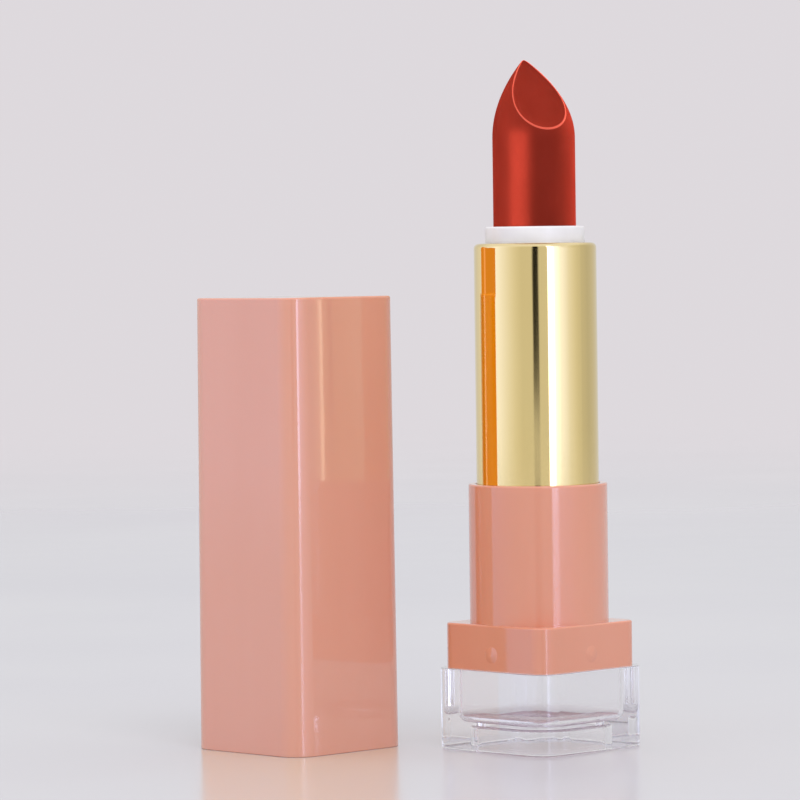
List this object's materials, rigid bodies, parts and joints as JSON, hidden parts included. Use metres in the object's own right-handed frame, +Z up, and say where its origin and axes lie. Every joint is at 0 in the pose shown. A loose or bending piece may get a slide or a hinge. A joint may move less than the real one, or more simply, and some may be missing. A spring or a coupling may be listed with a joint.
{
  "type": "lipstick case",
  "caption": "Square lipstick case with a thick clear base, a pink plate and collar, a gold twist tube, a red bullet and a square cap standing beside it.",
  "frame": {"origin": "centre of the clear base's underside, on the case's axis", "axes": "+Z up along the case's axis; the base's four flats face +X, -X, +Y and -Y; the cap stands towards -X and -Y"},
  "size_m": [0.0505, 0.0445, 0.1005],
  "materials": {
    "clear_plastic": "clear polished",
    "pink_plastic": "glossy moulded",
    "gold": "polished gold anodised",
    "white_plastic": "satin moulded",
    "wax": "satin wax",
    "silicone": "matt"
  },
  "bodies": {
    "case_base": {"base_block": "clear_plastic", "collar": "pink_plastic", "slotted_tube": "white_plastic", "friction_ring": "silicone"},
    "turning_tube": {"outer_shell": "gold", "spiral_sleeve": "white_plastic"},
    "carrier": {"cup": "white_plastic", "bullet": "wax"},
    "cap": {"cap": "pink_plastic"}
  },
  "joints": [
    {"name": "shell_turn", "type": "hinge", "parent": "case_base", "child": "turning_tube", "pos_m": [0, 0, 0.05], "axis": [0, 0, 1], "range_deg": [-540, 0]},
    {"name": "cup_rise", "type": "slide", "parent": "case_base", "child": "carrier", "axis": [0, 0, 1], "range_m": [-0.027, 0]},
    {"name": "cap_lift", "type": "slide", "parent": "case_base", "child": "cap", "axis": [0, 0, 1], "range_m": [0, 0.066]}
  ],
  "couplings": [
    {"joint": "cup_rise", "follows": "shell_turn", "m_per_rad": 0.0028647}
  ]
}
